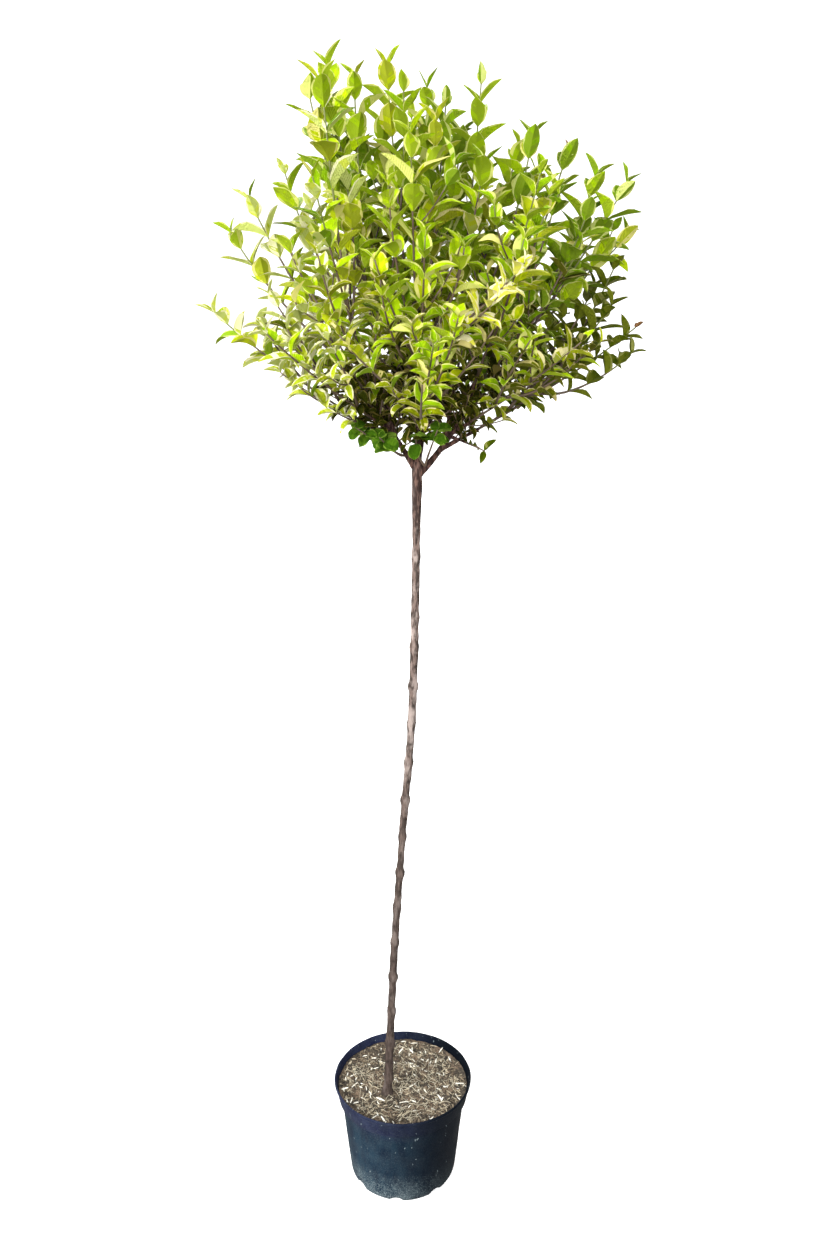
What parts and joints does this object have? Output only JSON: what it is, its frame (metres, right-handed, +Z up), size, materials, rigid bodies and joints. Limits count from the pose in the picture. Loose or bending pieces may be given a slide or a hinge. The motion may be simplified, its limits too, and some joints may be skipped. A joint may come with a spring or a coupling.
{
  "type": "potted standard privet shrub",
  "caption": "Potted standard privet: a ball of upright gold-edged leafy shoots on a slender clear stem, in a round nursery pot of compost.",
  "frame": {"origin": "centre of the pot's flat underside, on the ground", "axes": "+Z up along the stem; -Y towards the side that the picture shows, +X to its right"},
  "size_m": [0.6831, 0.6689, 1.9491],
  "materials": {
    "pot_plastic": "blow-moulded navy-black plastic, dusty and scuffed towards its foot",
    "compost": "dry brown potting compost with straw-coloured bark chips and fibres",
    "bark": "grey-brown privet bark, smooth between old leaf joints, darker on the boughs",
    "foliage": "glossy oval privet leaves, green in the middle with yellow edges"
  },
  "bodies": {
    "root": {"pot": "pot_plastic", "compost": "compost", "stem": "bark", "bough_centre": "bark", "bough_left": "bark", "bough_right": "bark", "bough_rear": "bark", "bough_left_low": "bark", "bough_left_spire": "bark", "bough_left_front_low": "bark", "bough_left_upper": "bark", "bough_left_front": "bark", "bough_right_low": "bark", "bough_right_spire": "bark", "bough_right_front_low": "bark", "bough_right_shoulder": "bark", "bough_right_front": "bark", "bough_front_low": "bark", "bough_front": "bark", "bough_front_top": "bark", "bough_tall_centre": "bark", "bough_rear_low": "bark", "bough_rear_left": "bark", "bough_rear_left_low": "bark", "bough_rear_right": "bark", "bough_rear_right_low": "bark", "bough_rear_top": "bark", "bough_right_rear_top": "bark", "bough_hanging": "bark", "foliage_centre": "foliage", "foliage_left": "foliage", "foliage_right": "foliage", "foliage_rear": "foliage", "foliage_left_low": "foliage", "foliage_left_spire": "foliage", "foliage_left_front_low": "foliage", "foliage_left_upper": "foliage", "foliage_left_front": "foliage", "foliage_right_low": "foliage", "foliage_right_spire": "foliage", "foliage_right_front_low": "foliage", "foliage_right_shoulder": "foliage", "foliage_right_front": "foliage", "foliage_front_low": "foliage", "foliage_front": "foliage", "foliage_front_top": "foliage", "foliage_tall_centre": "foliage", "foliage_rear_low": "foliage", "foliage_rear_left": "foliage", "foliage_rear_left_low": "foliage", "foliage_rear_right": "foliage", "foliage_rear_right_low": "foliage", "foliage_rear_top": "foliage", "foliage_right_rear_top": "foliage", "foliage_hanging": "foliage", "foliage_basal_left": "foliage", "foliage_basal_right": "foliage"}
  },
  "joints": []
}
